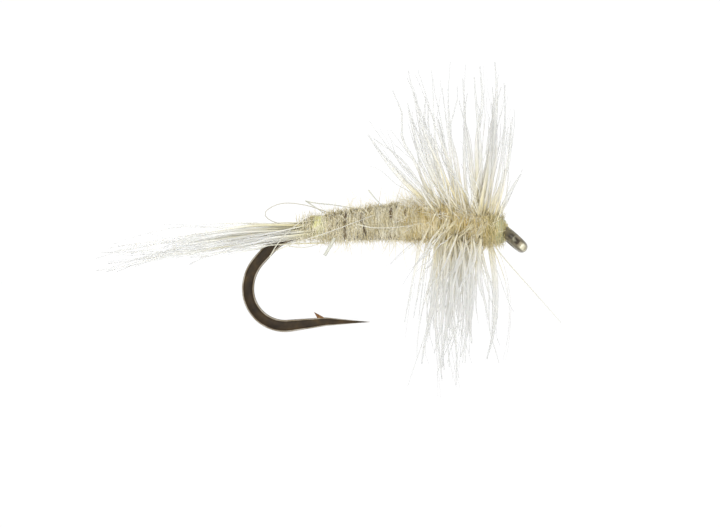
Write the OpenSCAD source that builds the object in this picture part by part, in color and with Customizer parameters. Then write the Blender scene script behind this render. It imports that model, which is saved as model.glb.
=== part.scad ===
// Dry fly tied on a light-wire hook with a turned-down eye.
// The origin is the centre of the hook eye. +X runs along the shank and out past the eye,
// +Z is up, away from the point. All sizes are in millimetres.

/* [Hook] */
// Diameter of the hook wire
wire_d = 0.47; // [0.38:0.01:0.57]
// Thickness of the bend where the wire is forged flat on both sides
forge_t = 0.36; // [0.28:0.01:0.37]
// Straight length of the shank, from the back of the eye to the start of the bend
shank_l = 7.5; // [6.2:0.1:9.2]
// Length over which the wire thins towards the eye
neck_l = 0.5; // [0.3:0.05:0.7]
// Diameter of the wire where it meets the eye
neck_d = 0.4; // [0.3:0.01:0.42]
// Radius of the bend's first stretch, on the wire's centreline
bend_r1 = 2.05; // [1.8:0.05:2.5]
// Angle of the bend's first stretch
bend_a1 = 47.5; // [40:0.5:50]
// Length of the nearly straight run down the back of the bend
bend_run = 0.6; // [0.4:0.05:0.9]
// Radius of the bend's middle stretch
bend_r2 = 1.67; // [1.4:0.01:2.0]
// Angle of the bend's middle stretch
bend_a2 = 39; // [34:1:44]
// Radius of the bend's last stretch
bend_r3 = 1.43; // [1.2:0.01:1.7]
// Angle of the bend's last stretch
bend_a3 = 100; // [94:1:104]
// Length of the tapering spear, up to the barb
spear_l = 1.41; // [1.1:0.01:1.7]
// Diameter of the spear under the barb
spear_d = 0.33; // [0.27:0.01:0.33]
// Length of the ground point in front of the barb
point_l = 1.7; // [1.3:0.05:2.1]
// Angle by which the point turns back towards the shank line
point_turn = 7; // [4:0.5:9]
// Height of the barb's tip above the spear's centreline
barb_h = 0.42; // [0.32:0.01:0.5]
// Distance by which the barb's tip leans back from the end of the spear
barb_back = 0.4; // [0.33:0.01:0.48]
// Thickness of the barb
barb_t = 0.15; // [0.1:0.01:0.2]

/* [Hook eye] */
// Diameter of the hole through the eye
eye_bore_d = 0.5; // [0.4:0.01:0.6]
// Diameter of the wire that forms the eye
eye_wire_d = 0.45; // [0.42:0.01:0.54]
// Depth to which the eye's inner wall is coined to a true cylinder
eye_land = 0.02; // [0.01:0.005:0.03]
// Angle by which the eye is turned down from the shank
eye_tilt = 41.8; // [30:0.1:48]

/* [Thread] */
// Diameter of the tying thread
thread_d = 0.045; // [0.03:0.005:0.06]
// Length of the thread collar that binds down the tail
tail_bind_l = 0.7; // [0.5:0.05:0.9]
// Length of the thread head behind the eye
head_l = 0.85; // [0.7:0.05:1.05]
// Greatest diameter of the thread head
head_d = 1.02; // [0.9:0.01:1.2]
// Turns in the whip finish
whip_turns = 5; // [4:1:6]
// Thickness of the varnish on the head
cement_t = 0.02; // [0.01:0.005:0.03]

/* [Tail] */
// Diameter of a tail fibre where it is tied in
tail_fibre_d = 0.075; // [0.06:0.005:0.1]
// Length of the longest tail fibre
tail_l = 8.3; // [6.8:0.1:10]
// Layers of fibres on top of the shank
tail_layers = 4; // [3:1:4]
// Fibres in the bottom layer
tail_row = 6; // [5:1:6]
// Angle by which the lowest tail fibres droop
tail_droop = 10.5; // [8:0.5:11]
// Angle by which the outermost tail fibres spread to the side
tail_spread = 8; // [4:1:10]

/* [Body] */
// Length of the thorax, under the hackle
thorax_l = 3.05; // [2.5:0.05:3.7]
// Diameter of the dubbed abdomen at the tail
abdomen_d1 = 1.06; // [1.02:0.01:1.25]
// Diameter of the body where abdomen and thorax meet
abdomen_d2 = 1.54; // [1.4:0.01:1.8]
// Diameter of the dubbed thorax behind the head
thorax_d = 1.06; // [0.96:0.01:1.25]
// Height of the body's centre above the shank where abdomen and thorax meet
body_rise = 0.33; // [0.3:0.01:0.34]
// Turns of dubbing along the abdomen
abdomen_turns = 9; // [7:1:12]
// Turns of dubbing along the thorax
thorax_turns = 8; // [6:1:10]
// Depth of the groove between two turns of dubbing
dub_groove = 0.07; // [0.03:0.01:0.09]
// Loose guard hairs that stand out of the abdomen
guard_hairs = 36; // [20:1:50]
// Length of the longest guard hair
guard_l = 0.8; // [0.5:0.1:1.2]

/* [Hackle] */
// Distance from the shank to the tips of the hackle
hackle_r = 6.25; // [5:0.05:7.5]
// Diameter of a hackle feather's stem
stem_d = 0.12; // [0.1:0.01:0.15]
// Turns of the rear feather
rear_turns = 4; // [3:1:5]
// Turns of the front feather
front_turns = 4; // [3:1:5]
// Barbs on the rear feather
rear_barbs = 43; // [30:1:60]
// Barbs on the front feather
front_barbs = 47; // [30:1:60]
// Diameter of a barb at its root
barb_root_d = 0.09; // [0.07:0.01:0.1]
// Lean of the rearmost barbs, backwards from upright
lean_back = 27; // [20:1:32]
// Lean of the foremost barbs, forwards from upright
lean_front = 10; // [4:1:14]

/* [Hidden] */
$fn = 32;

// gap between two pieces that lie against each other
seat = 0.005;
// distance by which a cutting shape runs past what it cuts
past = 0.1;
// distance by which a body part's axis runs past its cut ends
lap = 0.12;
// share of its root diameter that a fibre keeps at its tip
tip_share = 0.3;
// radius of the sharp end of the point
point_r = 0.015;
// sides of the forged wire
wire_sides = 16;
// sides and rings per turn of a wound stem
stem_sides = 6;
stem_rings = 18;

wire_r = wire_d / 2;
eye_wire_r = eye_wire_d / 2;
eye_bore_r = eye_bore_d / 2;
ring_r = eye_bore_r + eye_wire_r - eye_land;
shank_z = ring_r * sin(eye_tilt);
shank_front = -ring_r * cos(eye_tilt);
bend_x = shank_front - shank_l;

// stations along the shank, from the head back to the tail
head_x1 = shank_front + 0.04;
head_x0 = head_x1 - head_l;
thorax_x1 = head_x0 - seat;
thorax_x0 = thorax_x1 - thorax_l;
abdomen_x1 = thorax_x0 - seat;
bind_x0 = bend_x + 0.02;
bind_x1 = bind_x0 + tail_bind_l;
abdomen_x0 = bind_x1 + seat;

// what lies on the shank, from the wire outwards
base_in = wire_r + seat;
base_r = base_in + thread_d;
fibre_r = tail_fibre_d / 2;
layer_step = 2.1 * fibre_r;
butts_top = base_r + seat + fibre_r + (tail_layers - 1) * layer_step + fibre_r;
under_rise = (butts_top - base_r) / 2;
under_in = (butts_top + base_r) / 2 + seat;
under_out = under_in + thread_d;
butt_angle = 55;
butt_r = stem_d / 2;
butt_ring = base_r + seat + butt_r;
chest_rise = 0.06;
chest_in = norm([butt_ring * cos(butt_angle), butt_ring * sin(butt_angle) - chest_rise])
    + butt_r + seat;
chest_out = chest_in + thread_d;
head_r = head_d / 2;
head_front_r = wire_r + 2 * thread_d;
ridge = thread_d / 3;

// headings in the X-Z plane, counted from +X towards +Z
function dir(a) = [cos(a), 0, sin(a)];
function left(a) = dir(a + 90);
function after_arc(p, a, r, turn) = p + r * left(a) - r * left(a + turn);

heading_1 = 180 + bend_a1;
heading_2 = heading_1 + bend_a2;
heading_3 = heading_2 + bend_a3;
heading_4 = heading_3 - point_turn;
bend_start = [bend_x, 0, shank_z];
run_start = after_arc(bend_start, 180, bend_r1, bend_a1);
run_end = run_start + bend_run * dir(heading_1);
bend_mid = after_arc(run_end, heading_1, bend_r2, bend_a2);
spear_start = after_arc(bend_mid, heading_2, bend_r3, bend_a3);
spear_end = spear_start + spear_l * dir(heading_3);

// axes of the two dubbed parts of the body, as [x, height above the shank]; each axis runs
// past both ends of its part, which is then cut square to the shank
abdomen_from = [abdomen_x0 - lap, under_rise];
abdomen_to = [abdomen_x1 + lap, body_rise];
thorax_from = [thorax_x0 - lap, body_rise];
thorax_to = [thorax_x1 + lap, chest_rise];
abdomen_len = norm(abdomen_to - abdomen_from);
thorax_len = norm(thorax_to - thorax_from);

function mix(a, b, s) = a + (b - a) * s;
function bump(s, n) = abs(sin(180 * n * s));
function thorax_r(s) = mix(abdomen_d2, thorax_d, s) / 2;
function abdomen_r(s) = mix(abdomen_d1, abdomen_d2, s) / 2;
function head_at(s) = head_front_r + (head_r - head_front_r) * sqrt(1 - pow(0.97 * s, 2));

// a point on a Bezier curve through four control points
function curve(p, s) = pow(1 - s, 3) * p[0] + 3 * s * pow(1 - s, 2) * p[1]
    + 3 * s * s * (1 - s) * p[2] + pow(s, 3) * p[3];

// ---- shared shapes ----

module along(start, heading) {
    translate(start) rotate([0, 90 - heading, 0]) children();
}

// local Z runs along a body axis given as [x, height above the shank] at each end
module body_frame(from, to) {
    slope = atan2(to[1] - from[1], to[0] - from[0]);
    along([from[0], 0, shank_z + from[1]], slope) children();
}

// a fibre from its root to its tip, tapering
module fibre(length, d) {
    cylinder(h = length, d1 = d, d2 = d * tip_share, $fn = 16);
}

// plain layer of thread round the shank, its centre raised above the wire
module sleeve(x0, x1, rise, r_in, r_out) {
    translate([x0, 0, shank_z + rise]) rotate([0, 90, 0]) difference() {
        cylinder(h = x1 - x0, r = r_out);
        translate([0, 0, -past]) cylinder(h = x1 - x0 + 2 * past, r = r_in);
    }
}

module shank_bore(x0, x1, rise, r) {
    translate([x0 - past, 0, shank_z + rise])
        rotate([0, 90, 0]) cylinder(h = x1 - x0 + 2 * past, r = r);
}

// closed skin over a list of rings, each with the same number of points
module skin(rings) {
    n = len(rings[0]);
    last = len(rings) - 1;
    points = [for (ring = rings) each ring];
    walls = [for (i = [0 : last - 1]) for (j = [0 : n - 1])
        [i * n + j, i * n + (j + 1) % n, (i + 1) * n + (j + 1) % n, (i + 1) * n + j]];
    first_cap = [for (j = [n - 1 : -1 : 0]) j];
    last_cap = [for (j = [0 : n - 1]) last * n + j];
    polyhedron(points, concat(walls, [first_cap, last_cap]));
}

// round tube along a list of points; side is a direction that the path never takes
module tube(points, r, side) {
    last = len(points) - 1;
    function travel(i) = points[min(i + 1, last)] - points[max(i - 1, 0)];
    function across(i) = cross(side, travel(i)) / norm(cross(side, travel(i)));
    skin([for (i = [0 : last]) [for (j = [0 : stem_sides - 1])
        let (a = 360 * j / stem_sides) points[i] + r * (cos(a) * side + sin(a) * across(i))]]);
}

// ---- the hook ----

module shank() {
    translate(bend_start) rotate([0, 90, 0]) rotate_extrude()
        polygon([[0, 0], [wire_r, 0], [wire_r, shank_l - neck_l], [neck_d / 2, shank_l], [0, shank_l]]);
}

module barb() {
    root = spear_d / 4;
    translate(spear_end) rotate([90, 0, 0]) rotate([0, 0, heading_3])
        translate([0, 0, -barb_t / 2]) linear_extrude(barb_t)
            polygon([[root, root], [-barb_back, barb_h], [-barb_back / 2 - root, root]]);
}

// one ring of the forged wire: a circle of radius r with its two sides pressed flat
function forged_ring(p, heading, r) = [for (j = [0 : wire_sides - 1])
    let (a = 360 * (j + 0.5) / wire_sides)
    p + r * cos(a) * left(heading) + [0, max(-1, min(1, 2 * r * sin(a) / forge_t)) * forge_t / 2, 0]];

function arc_rings(start, heading, r, turn, n) = [for (i = [1 : n])
    let (a = turn * i / n) forged_ring(after_arc(start, heading, r, a), heading + a, wire_r)];

module bend_and_point() {
    root = bend_start + [wire_d, 0, 0];
    skin(concat(
        [forged_ring(root, 180, 0.8 * wire_r)],
        arc_rings(bend_start, 180, bend_r1, bend_a1, 8),
        [forged_ring(run_end, heading_1, wire_r)],
        arc_rings(run_end, heading_1, bend_r2, bend_a2, 7),
        arc_rings(bend_mid, heading_2, bend_r3, bend_a3, 18),
        [forged_ring(spear_end, heading_3, spear_d / 2),
            forged_ring(spear_end + point_l * dir(heading_4), heading_4, point_r)]));
    barb();
}

module eye_ring(grow) {
    rotate([0, eye_tilt, 0])
        rotate_extrude($fn = 64) translate([ring_r, 0]) circle(r = eye_wire_r + grow);
}

module hook() {
    color([0.29, 0.25, 0.19]) union() {
        shank();
        bend_and_point();
        difference() {
            eye_ring(0);
            rotate([0, eye_tilt, 0])
                cylinder(h = 4 * eye_wire_d, r = eye_bore_r, center = true);
        }
    }
}

// ---- thread, tail and underbody ----

module thread_base() {
    color([0.80, 0.79, 0.55]) sleeve(bind_x0, head_x0 - seat, 0, base_in, base_r);
}

// place of each tail fibre on the shank: [angle round the shank, distance from its centre, layer]
tail_places = [for (layer = [0 : tail_layers - 1]) for (i = [0 : tail_row - layer - 1])
    let (ring = base_r + seat + fibre_r + layer * layer_step)
    let (step = 2 * asin(1.06 * fibre_r / ring))
    [90 + step * (i - (tail_row - layer - 1) / 2), ring, layer]];

module tail_fibres() {
    shrink = rands(0.82, 1, len(tail_places), 7);
    color([0.95, 0.94, 0.89]) for (i = [0 : len(tail_places) - 1]) {
        place = tail_places[i];
        droop = tail_droop - 1.5 * place[2];
        yaw = tail_spread * (place[0] - 90) / 45;
        translate([bind_x0 - 3 * seat, place[1] * cos(place[0]), shank_z + place[1] * sin(place[0])])
            rotate([0, 0, yaw]) rotate([0, -90 - droop, 0])
                fibre(tail_l * shrink[i], tail_fibre_d);
    }
}

module tail_butts() {
    color([0.93, 0.91, 0.82]) for (place = tail_places) {
        cut = 0.12 * place[2];
        translate([bind_x0, place[1] * cos(place[0]), shank_z + place[1] * sin(place[0])])
            rotate([0, 90, 0]) cylinder(h = abdomen_x1 - bind_x0 - cut, d = tail_fibre_d, $fn = 16);
    }
}

// thread wound side by side, one ridge a turn, over a radius that follows a function of s
module ridged(length, turns, r_in, r_out) {
    outside = [for (i = [0 : 2 * turns])
        [r_out[i] + (i % 2 == 1 ? ridge : 0), length * i / (2 * turns)]];
    inside = [for (i = [2 * turns : -1 : 0]) [r_in[i], length * i / (2 * turns)]];
    rotate_extrude($fn = 32) polygon(concat(outside, inside));
}

module tail_binding() {
    turns = round(tail_bind_l / (1.6 * thread_d));
    color([0.84, 0.86, 0.52])
        translate([bind_x0, 0, shank_z + under_rise]) rotate([0, 90, 0])
            ridged(tail_bind_l, turns, [for (i = [0 : 2 * turns]) under_in],
                [for (i = [0 : 2 * turns]) under_out]);
}

module underbody_wraps() {
    color([0.86, 0.82, 0.62]) sleeve(bind_x1 + seat, abdomen_x1, under_rise, under_in, under_out);
}

// ---- the dubbed body ----

// keeps what lies between two stations on the shank
module between(x0, x1) {
    width = 4 * abdomen_d2;
    intersection() {
        children();
        translate([x0, -width / 2, -width / 2]) cube([x1 - x0, width, width]);
    }
}

// dubbing wound in turns, with a groove between each two
module dubbing(length, turns, d1, d2) {
    steps = 6 * turns;
    outside = [for (i = [0 : steps]) let (s = i / steps)
        [mix(d1, d2, s) / 2 - dub_groove * (1 - bump(s, turns)), length * s]];
    rotate_extrude($fn = 40) polygon(concat([[0, 0]], outside, [[0, length]]));
}

module abdomen_dubbing() {
    color([0.87, 0.83, 0.70]) difference() {
        between(abdomen_x0, abdomen_x1) body_frame(abdomen_from, abdomen_to)
            dubbing(abdomen_len, abdomen_turns, abdomen_d1 + 2 * dub_groove, abdomen_d2);
        shank_bore(abdomen_x0, abdomen_x1, under_rise, under_out + seat);
    }
}

module guard_hairs() {
    turn = 137.5;
    wave = rands(-1, 1, 2 * guard_hairs, 11);
    color([0.93, 0.91, 0.83]) body_frame(abdomen_from, abdomen_to)
        for (i = [0 : guard_hairs - 1]) {
            s = (i + 0.5) / guard_hairs;
            rotate([0, 0, turn * i])
                translate([abdomen_r(s) + dub_groove + 2 * seat, 0, abdomen_len * s])
                    rotate([0, 90 + 30 * wave[i], 0])
                        fibre(guard_l * (0.65 + 0.35 * wave[guard_hairs + i]), 0.03);
        }
}

module tag_end() {
    start_x = abdomen_x0 + 0.3;
    start_z = shank_z + under_rise - abdomen_d1 / 2 - dub_groove - 2 * seat;
    color([0.90, 0.88, 0.76])
        along([start_x, 0, start_z], 243) cylinder(h = 0.62, d1 = 0.1, d2 = 0.07, $fn = 16);
}

module loose_loop() {
    top = shank_z + under_out + under_rise + ridge + 0.05;
    route = [[bind_x1 - 0.25, -0.1, top], [bind_x0 - 0.9, -0.3, top + 0.75],
        [bind_x0 - 2.5, 0, top + 0.05], [bind_x0 + 0.1, 0.1, top - 0.02]];
    color([0.95, 0.94, 0.90])
        tube([for (i = [0 : 36]) curve(route, i / 36)], 0.018, [0, 1, 0]);
}

// pale fibres that lie loose on top of the abdomen
module stray_fibres() {
    spots = [[0.1, -20, 62, 1.1], [0.22, 16, 40, 0.9], [0.5, -34, 70, 1.2], [0.72, 30, 66, 1.0]];
    color([0.94, 0.93, 0.88]) body_frame(abdomen_from, abdomen_to)
        for (spot = spots)
            rotate([0, 0, 180 + spot[1]])
                translate([abdomen_r(spot[0]) + dub_groove + 4 * seat, 0, abdomen_len * spot[0]])
                    rotate([0, spot[2], 0]) fibre(spot[3], 0.035);
}

// ---- thorax and hackle ----

module hackle_butts() {
    color([0.90, 0.86, 0.72]) for (side = [-1, 1])
        translate([thorax_x0 + 0.1, side * butt_ring * cos(butt_angle),
                shank_z + butt_ring * sin(butt_angle)])
            rotate([0, 90, 0]) cylinder(h = thorax_l - 0.2, r = butt_r, $fn = 24);
}

module thorax_wraps() {
    color([0.84, 0.78, 0.55]) sleeve(thorax_x0, thorax_x1, chest_rise, chest_in, chest_out);
}

module thorax_dubbing() {
    color([0.85, 0.76, 0.52]) difference() {
        between(thorax_x0, thorax_x1) body_frame(thorax_from, thorax_to)
            dubbing(thorax_len, thorax_turns, abdomen_d2, thorax_d);
        shank_bore(thorax_x0, thorax_x1, chest_rise, chest_out + seat);
    }
}

// centre of the wound stem at turn angle a and share s of the thorax, in the thorax frame
function stem_ring(s) = thorax_r(s) + 2 * seat + stem_d / 2;
function stem_at(a, s) = [stem_ring(s) * cos(a), stem_ring(s) * sin(a), thorax_len * s];

module hackle_stem(turns, s0, s1) {
    steps = turns * stem_rings;
    color([0.86, 0.80, 0.62]) body_frame(thorax_from, thorax_to)
        tube([for (i = [0 : steps]) stem_at(360 * turns * i / steps, mix(s0, s1, i / steps))],
            stem_d / 2, [0, 0, 1]);
}

// barbs spring from the outside of the wound stem; the lean grows evenly from back to front
module hackle_barbs(count, turns, s0, s1, seed) {
    wave = rands(0, 1, count, seed);
    color([0.94, 0.93, 0.90, 0.8]) body_frame(thorax_from, thorax_to)
        for (i = [0 : count - 1]) {
            share = (i + 0.5) / count;
            s = mix(s0, s1, share);
            a = 360 * turns * share;
            // 1 on the belly, 0 on the back
            below = (1 + cos(a)) / 2;
            lean = mix(-lean_back, lean_front, s) * (1 - 0.35 * below) - 6 * below;
            root = stem_ring(s) + stem_d / 2 + 3 * seat;
            reach = (hackle_r + body_rise * cos(a)) * (1 - 0.13 * pow(sin(a), 2))
                * (1 - 0.14 * wave[i]);
            rotate([0, 0, a]) translate([root, 0, thorax_len * s])
                rotate([0, 90 - lean, 0]) fibre((reach - root) / cos(lean), barb_root_d);
        }
}

module rear_hackle_stem() { hackle_stem(rear_turns, 0.05, 0.47); }

module rear_hackle_barbs() { hackle_barbs(rear_barbs, rear_turns, 0.05, 0.47, 3); }

module front_hackle_stem() { hackle_stem(front_turns, 0.53, 0.95); }

module front_hackle_barbs() { hackle_barbs(front_barbs, front_turns, 0.53, 0.95, 5); }

// ---- the head ----

head_turns = round(head_l / (1.4 * thread_d));
whip_n = whip_turns;
whip_l = whip_turns * 1.2 * thread_d;
whip_from = 1 - (whip_l + 0.1) / head_l;

module head_frame(x) {
    translate([x, 0, shank_z]) rotate([0, 90, 0]) children();
}

module clear_of_eye() {
    difference() {
        children();
        eye_ring(2 * seat);
    }
}

module head_thread() {
    color([0.78, 0.77, 0.55]) clear_of_eye() head_frame(head_x0)
        ridged(head_l, head_turns, [for (i = [0 : 2 * head_turns]) wire_r + seat],
            [for (i = [0 : 2 * head_turns]) head_at(i / (2 * head_turns))]);
}

// a ring over the front of the head: gap above the thread, then its own thickness
function over_head(gap, n) = [for (i = [0 : 2 * n])
    head_at(whip_from + whip_l / head_l * i / (2 * n)) + ridge + gap];

module whip_finish() {
    color([0.82, 0.82, 0.60]) clear_of_eye() head_frame(head_x0 + head_l * whip_from)
        ridged(whip_l, whip_n, over_head(seat, whip_n), over_head(seat + thread_d, whip_n));
}

module head_cement() {
    gap = 2 * seat + thread_d + ridge;
    n = whip_n;
    inner = over_head(gap, n);
    outer = over_head(gap + cement_t, n);
    outside = [for (i = [0 : 2 * n]) [outer[i], whip_l * i / (2 * n)]];
    inside = [for (i = [2 * n : -1 : 0]) [inner[i], whip_l * i / (2 * n)]];
    color([0.90, 0.88, 0.70, 0.5]) clear_of_eye() head_frame(head_x0 + head_l * whip_from)
        rotate_extrude($fn = 32) polygon(concat(outside, inside));
}

hook();
thread_base();
tail_fibres();
tail_butts();
tail_binding();
underbody_wraps();
abdomen_dubbing();
guard_hairs();
tag_end();
loose_loop();
stray_fibres();
hackle_butts();
thorax_wraps();
thorax_dubbing();
rear_hackle_stem();
rear_hackle_barbs();
front_hackle_stem();
front_hackle_barbs();
head_thread();
whip_finish();
head_cement();
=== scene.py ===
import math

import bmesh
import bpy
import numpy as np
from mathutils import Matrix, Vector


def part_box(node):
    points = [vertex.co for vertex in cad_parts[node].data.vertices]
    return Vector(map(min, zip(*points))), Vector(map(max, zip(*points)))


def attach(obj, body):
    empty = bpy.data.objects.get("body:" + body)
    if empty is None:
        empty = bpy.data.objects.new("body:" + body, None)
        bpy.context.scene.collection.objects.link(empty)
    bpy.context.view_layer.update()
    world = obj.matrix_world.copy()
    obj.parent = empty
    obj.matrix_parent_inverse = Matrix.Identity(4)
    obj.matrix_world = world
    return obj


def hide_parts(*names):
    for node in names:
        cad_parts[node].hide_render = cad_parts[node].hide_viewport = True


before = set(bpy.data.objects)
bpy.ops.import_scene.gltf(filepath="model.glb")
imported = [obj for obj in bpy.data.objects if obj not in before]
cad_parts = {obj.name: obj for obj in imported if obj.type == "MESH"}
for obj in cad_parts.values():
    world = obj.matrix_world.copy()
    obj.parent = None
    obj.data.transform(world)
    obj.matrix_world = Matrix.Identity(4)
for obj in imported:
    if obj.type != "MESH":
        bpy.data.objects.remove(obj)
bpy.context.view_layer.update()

# %% [markdown]
# # A dry fly on a down-eyed hook
# A dry fly is tied by hand from thread, fur and feather on a light wire hook. Almost all of it
# is fibre: a tail of feather barbs, a body of spun fur, and a collar of stiff barbs that stands
# round the shank and carries the fly on the water. The work here is to make a few thousand
# fibres look tied and not scattered, each kind at its own thickness, stiffness and colour.

MM = 0.001
rng = np.random.default_rng(14)
scene = bpy.context.scene


def box_mm(node):
    low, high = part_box(node)
    return np.array(low) / MM, np.array(high) / MM


# %% [markdown]
# ## Where things are on the shank
# Every tying step has its stretch of the shank. The stretches are read from the frame, so the
# fur and the feathers land where the solids are. All lengths below are in millimetres and turn
# into metres when a mesh is made.

# %% Stations along the shank
base_low, base_high = box_mm("thread_base")
SHANK_Z = (base_low[2] + base_high[2]) / 2
BEND_X = box_mm("tail_binding")[0][0] - 0.02
BIND_END = box_mm("tail_binding")[1][0]
BODY_BACK = box_mm("abdomen_dubbing")[0][0]
WAIST_X = box_mm("abdomen_dubbing")[1][0]
BODY_FRONT = box_mm("thorax_dubbing")[1][0]
HEAD_BACK = BODY_FRONT
HEAD_FRONT = box_mm("head_thread")[1][0]
print("shank height", round(SHANK_Z, 3), "bend starts at", round(BEND_X, 2))


# %% [markdown]
# ## Camera, floor and light
# The fly is looked at square from its side with a long lens, so there is hardly any
# perspective. It hangs in a white light tent: the tent is a plain white world, the floor is a
# matt white sheet well below the fly, and three large soft lamps, above, in front and low
# down, make each fibre a little brighter than the tent does.

# %% Camera
VIEW_WIDTH = 27.72
VIEW_X = -5.885
VIEW_Z = -0.943
LENS = 100.0
SENSOR = 36.0
camera_data = bpy.data.cameras.new("side_camera")
camera_data.lens = LENS
camera_data.sensor_width = SENSOR
camera_data.clip_start = 0.001
camera_data.clip_end = 10.0
camera = bpy.data.objects.new("side_camera", camera_data)
scene.collection.objects.link(camera)
camera.location = Vector((VIEW_X, -VIEW_WIDTH * LENS / SENSOR, VIEW_Z)) * MM
camera.rotation_euler = (math.radians(90), 0, 0)
scene.camera = camera
print("camera distance in mm:", round(-camera.location.y / MM, 1))


# %% Colours and nodes
def colour(code):
    """Turn an sRGB hex value such as 'd9cfa4' into linear RGBA."""
    parts = [int(code[i:i + 2], 16) / 255 for i in (0, 2, 4)]
    linear = [p / 12.92 if p <= 0.04045 else ((p + 0.055) / 1.055) ** 2.4 for p in parts]
    return (*linear, 1.0)


def add(tree, kind, inputs=None, **settings):
    """Add one node; inputs maps a socket's name or number to a value or to another socket."""
    node = tree.nodes.new(kind)
    for name, value in settings.items():
        setattr(node, name, value)
    for name, value in (inputs or {}).items():
        if isinstance(value, bpy.types.NodeSocket):
            tree.links.new(value, node.inputs[name])
        else:
            node.inputs[name].default_value = value
    return node


def new_finish(name, **fixed):
    """A material with one Principled shader; fixed holds values that are the same all over."""
    finish = bpy.data.materials.new(name)
    finish.use_nodes = True
    shader = finish.node_tree.nodes["Principled BSDF"]
    for socket, value in fixed.items():
        shader.inputs[socket.replace("_", " ")].default_value = value
    return finish, finish.node_tree, shader


def blend_of(tree, stops, factor):
    """A colour ramp: stops is a list of (place, hex)."""
    ramp = add(tree, "ShaderNodeValToRGB", {"Fac": factor})
    elements = ramp.color_ramp.elements
    while len(elements) < len(stops):
        elements.new(0.5)
    for element, (place, code) in zip(elements, stops):
        element.position = place
        element.color = colour(code)
    return ramp.outputs["Color"]


# %% Floor and light
TENT_STRENGTH = 1.04
FLOOR_DROP = 30.0


def white_tent():
    world = bpy.data.worlds.new("white_tent")
    scene.world = world
    world.use_nodes = True
    back = world.node_tree.nodes["Background"]
    back.inputs["Color"].default_value = (1.0, 1.0, 1.0, 1.0)
    back.inputs["Strength"].default_value = TENT_STRENGTH
    scene.view_settings.view_transform = "Standard"


def soft_lamp(name, place, size, power):
    """A square lamp in mm that looks at the middle of the fly."""
    lamp = bpy.data.lights.new(name, "AREA")
    lamp.size = size * MM
    lamp.energy = power
    thing = bpy.data.objects.new(name, lamp)
    scene.collection.objects.link(thing)
    thing.location = Vector(place) * MM
    aim = Vector((-5, 0, 0)) * MM - thing.location
    thing.rotation_euler = aim.to_track_quat("-Z", "Y").to_euler()


def sheet_floor():
    """A wide matt sheet, with a trace of paper grain, well below the fly."""
    finish, tree, shader = new_finish("matt_white_paper", Roughness=0.9)
    where = add(tree, "ShaderNodeTexCoord").outputs["Object"]
    grain = add(tree, "ShaderNodeTexNoise", {"Vector": where, "Scale": 60.0, "Detail": 2.0})
    tone = blend_of(tree, [(0.3, "fcfcfc"), (0.7, "fefefe")], grain.outputs["Fac"])
    tree.links.new(tone, shader.inputs["Base Color"])
    bm = bmesh.new()
    bmesh.ops.create_grid(bm, x_segments=2, y_segments=2, size=3.0)
    bmesh.ops.translate(bm, verts=bm.verts, vec=(0, 0, -FLOOR_DROP * MM))
    mesh = bpy.data.meshes.new("floor")
    bm.to_mesh(mesh)
    bm.free()
    mesh.materials.append(finish)
    floor = bpy.data.objects.new("floor", mesh)
    scene.collection.objects.link(floor)


white_tent()
soft_lamp("lamp_above", (-10, -60, 120), 90, 0.012)
soft_lamp("lamp_front", (-25, -115, 30), 70, 0.040)
soft_lamp("lamp_low", (5, -90, -24), 40, 0.012)
sheet_floor()
print("white world, three soft lamps, one floor")


# %% [markdown]
# ## Helpers for pieces
# Two ways of making a piece are used. Wire, fur noodle and thread are one profile carried
# along a path by extrude and spin. Fibres are drawn as lines that an oval thickens, because a
# line with a radius at each point is just what a barb is: wide at the root, hair-thin at the
# tip. Each fibre keeps two numbers for its material: how far along it a point is, and a random
# shade of its own.

# %% Make a piece from a bmesh
def keep(mesh, name, finish, node_names=(), smooth=True):
    piece = bpy.data.objects.new(name, mesh)
    scene.collection.objects.link(piece)
    mesh.materials.clear()
    mesh.materials.append(finish)
    mesh.polygons.foreach_set("use_smooth", [smooth] * len(mesh.polygons))
    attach(piece, "root")
    if node_names:
        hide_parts(*node_names)
    print(f"{name}: {len(mesh.vertices)} points, {len(mesh.polygons)} faces")
    return piece


def keep_solid(bm, name, finish, node_names=(), smooth=True):
    """Merge doubles, point the faces outwards, turn millimetres into metres, and keep it."""
    bmesh.ops.remove_doubles(bm, verts=bm.verts, dist=1e-5)
    bmesh.ops.recalc_face_normals(bm, faces=bm.faces)
    bmesh.ops.scale(bm, verts=bm.verts, vec=(MM, MM, MM))
    mesh = bpy.data.meshes.new(name)
    bm.to_mesh(mesh)
    bm.free()
    return keep(mesh, name, finish, node_names, smooth)


def ring_of(bm, segments, radius, *turns):
    """A circle of points, turned by each angle and axis that is given."""
    ring = bmesh.ops.create_circle(bm, segments=segments, radius=radius)["verts"]
    for angle, axis in turns:
        bmesh.ops.rotate(bm, verts=ring, cent=(0, 0, 0), matrix=Matrix.Rotation(angle, 3, axis))
    return ring


def edges_of(verts):
    return list(dict.fromkeys(e for v in verts for e in v.link_edges))


def open_edges(bm):
    return [e for e in bm.edges if e.is_boundary]


def verts_of(geom):
    return [g for g in geom if isinstance(g, bmesh.types.BMVert)]


def rim_of(geom):
    """The edges of a ring that can still be extruded."""
    edges = [g for g in geom if isinstance(g, bmesh.types.BMEdge)]
    return [e for e in edges if e.is_boundary or e.is_wire]


def wind(bm, ring, travel, turns, steps):
    """Spin a ring round the X axis while it travels along it, and close the two ends."""
    bmesh.ops.spin(bm, geom=ring + edges_of(ring), cent=(0, 0, 0), axis=(1, 0, 0),
                   dvec=(travel / steps, 0, 0), angle=math.tau * turns, steps=steps,
                   use_merge=False, use_duplicate=False)
    bmesh.ops.holes_fill(bm, edges=open_edges(bm))


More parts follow.
